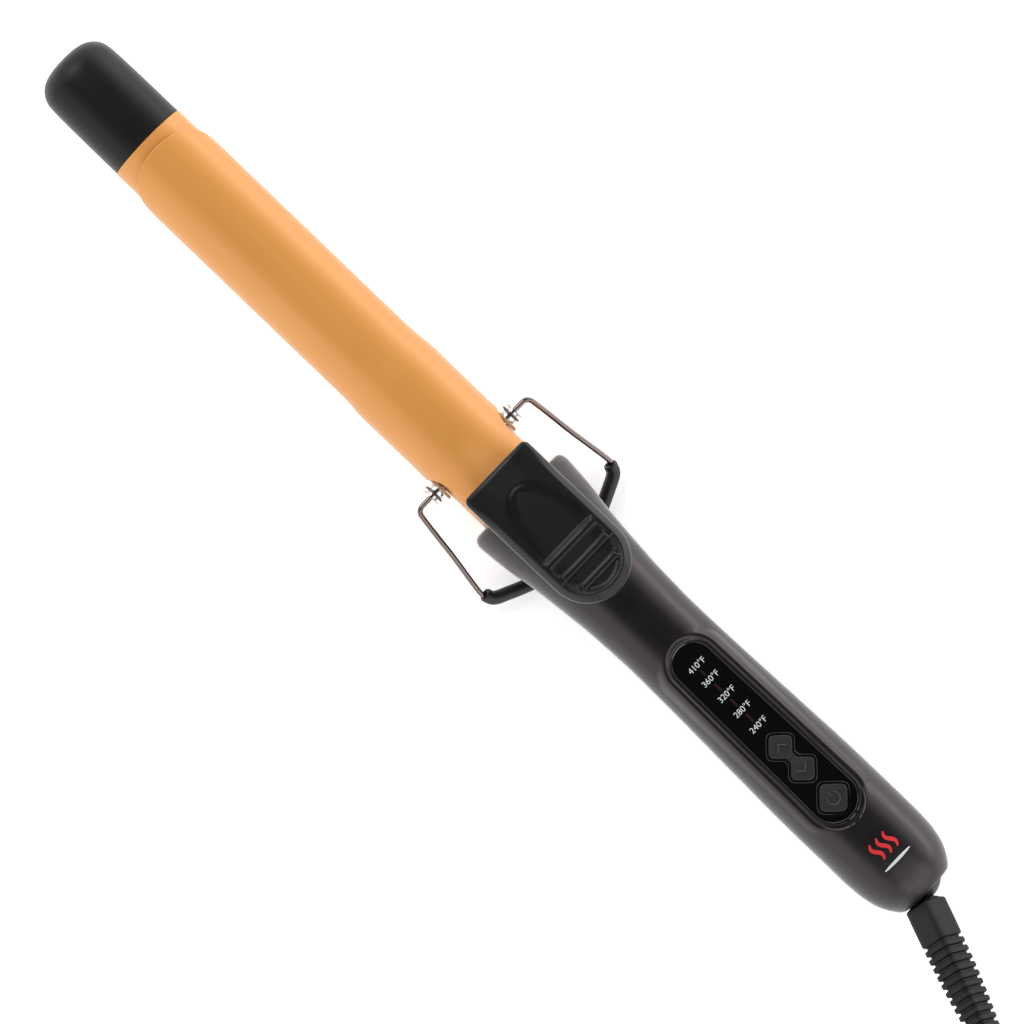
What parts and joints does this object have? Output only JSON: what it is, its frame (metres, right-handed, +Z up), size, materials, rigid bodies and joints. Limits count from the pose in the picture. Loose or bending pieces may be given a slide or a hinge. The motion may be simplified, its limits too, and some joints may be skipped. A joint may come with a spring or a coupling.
{
  "type": "curling iron",
  "caption": "Spring-clamp hair curling iron with a ceramic barrel, thumb lever, folding wire rest, digital panel and swivel cord.",
  "frame": {"origin": "under the middle of the iron, on the surface it lies on, at the underside of its folded rest", "axes": "+X from the cool tip to the cord, +Z up with the thumb lever on top, +Y to the left seen from the tip"},
  "size_m": [0.607, 0.0597, 0.0471],
  "materials": {
    "cap_black": "fine matt texture",
    "ceramic_gold": "satin fired ceramic coat",
    "saddle_gold": "satin",
    "soft_black": "soft-touch lacquer",
    "lever_black": "satin moulded",
    "panel_black": "polished",
    "key_black": "satin moulded",
    "rest_chrome": "polished",
    "sleeve_black": "silicone tube",
    "steel": "plain",
    "dark_steel": "blackened",
    "alumina": "fired ceramic",
    "alloy": "extruded",
    "mica": "rolled sheet",
    "phenolic": "moulded",
    "glass_sleeve": "braided",
    "board_green": "solder mask",
    "component_black": "moulded",
    "film_brown": "dipped",
    "can_blue": "sleeved",
    "lens_red": "diffuse",
    "brass": "plain",
    "cord_black": "matt",
    "tie_black": "hook and loop"
  },
  "bodies": {
    "root": {"tip_cap": "cap_black", "tip_insulator": "mica", "barrel_tube": "ceramic_gold", "heater_plate": "alumina", "heater_shoes": "alloy", "shoe_spring": "steel", "thermistor": "lens_red", "thermal_fuse": "brass", "mica_sleeve": "mica", "barrel_collar": "phenolic", "heater_leads": "glass_sleeve", "clamp_spring": "steel", "pivot_eyelets": "rest_chrome", "pivot_washers": "dark_steel", "handle_top": "soft_black", "handle_bottom": "soft_black", "handle_screws": "steel", "panel_window": "panel_black", "circuit_board": "board_green", "triac": "component_black", "film_capacitor": "film_brown", "smoothing_capacitor": "can_blue", "temperature_leds": "lens_red", "tact_switches": "component_black", "rocker_pin": "steel", "board_leads": "glass_sleeve", "cord_lead": "cord_black", "cord_hank": "cord_black", "hank_tie": "tie_black", "cord_tail": "cord_black", "plug_relief": "cord_black", "plug_body": "cord_black", "plug_blades": "brass"},
    "clamp": {"clamp_plate": "ceramic_gold", "clamp_saddle": "saddle_gold", "clamp_rivets": "steel", "thumb_lever": "lever_black"},
    "rest": {"rest_wire": "rest_chrome", "rest_pins": "rest_chrome", "rest_sleeve": "sleeve_black"},
    "rocker": {"rocker_button": "key_black"},
    "power": {"power_button": "key_black"},
    "ball": {"swivel_ball": "component_black"},
    "boot": {"cord_boot": "cord_black", "wiper_rings": "brass"}
  },
  "joints": [
    {"name": "clamp_hinge", "type": "hinge", "parent": "root", "child": "clamp", "pos_m": [-0.01, 0, 0.02035], "axis": [0, 1, 0], "range_deg": [0, 8], "stiffness_Nm_per_rad": 1.2, "springref_deg": -3.44, "deforming": ["clamp_spring"]},
    {"name": "rest_swing", "type": "hinge", "parent": "root", "child": "rest", "pos_m": [-0.01, 0, 0.02035], "axis": [0, 1, 0], "range_deg": [0, 105]},
    {"name": "rocker_tilt", "type": "hinge", "parent": "root", "child": "rocker", "pos_m": [0.1149, 0, 0.02935], "axis": [0, 1, 0], "range_deg": [-4, 4], "stiffness_Nm_per_rad": 0.02},
    {"name": "power_press", "type": "slide", "parent": "root", "child": "power", "axis": [0, 0, -1], "range_m": [0, 0.0008], "stiffness_N_per_m": 900},
    {"name": "cord_tilt", "type": "hinge", "parent": "root", "child": "ball", "pos_m": [0.1635, 0, 0.02035], "axis": [0, 0, 1], "range_deg": [0, 44], "deforming": ["cord_lead"]},
    {"name": "cord_swivel", "type": "hinge", "parent": "ball", "child": "boot", "pos_m": [0.1635, 0, 0.02035], "axis": [0.8996, -0.3635, 0.2419], "continuous": true}
  ]
}
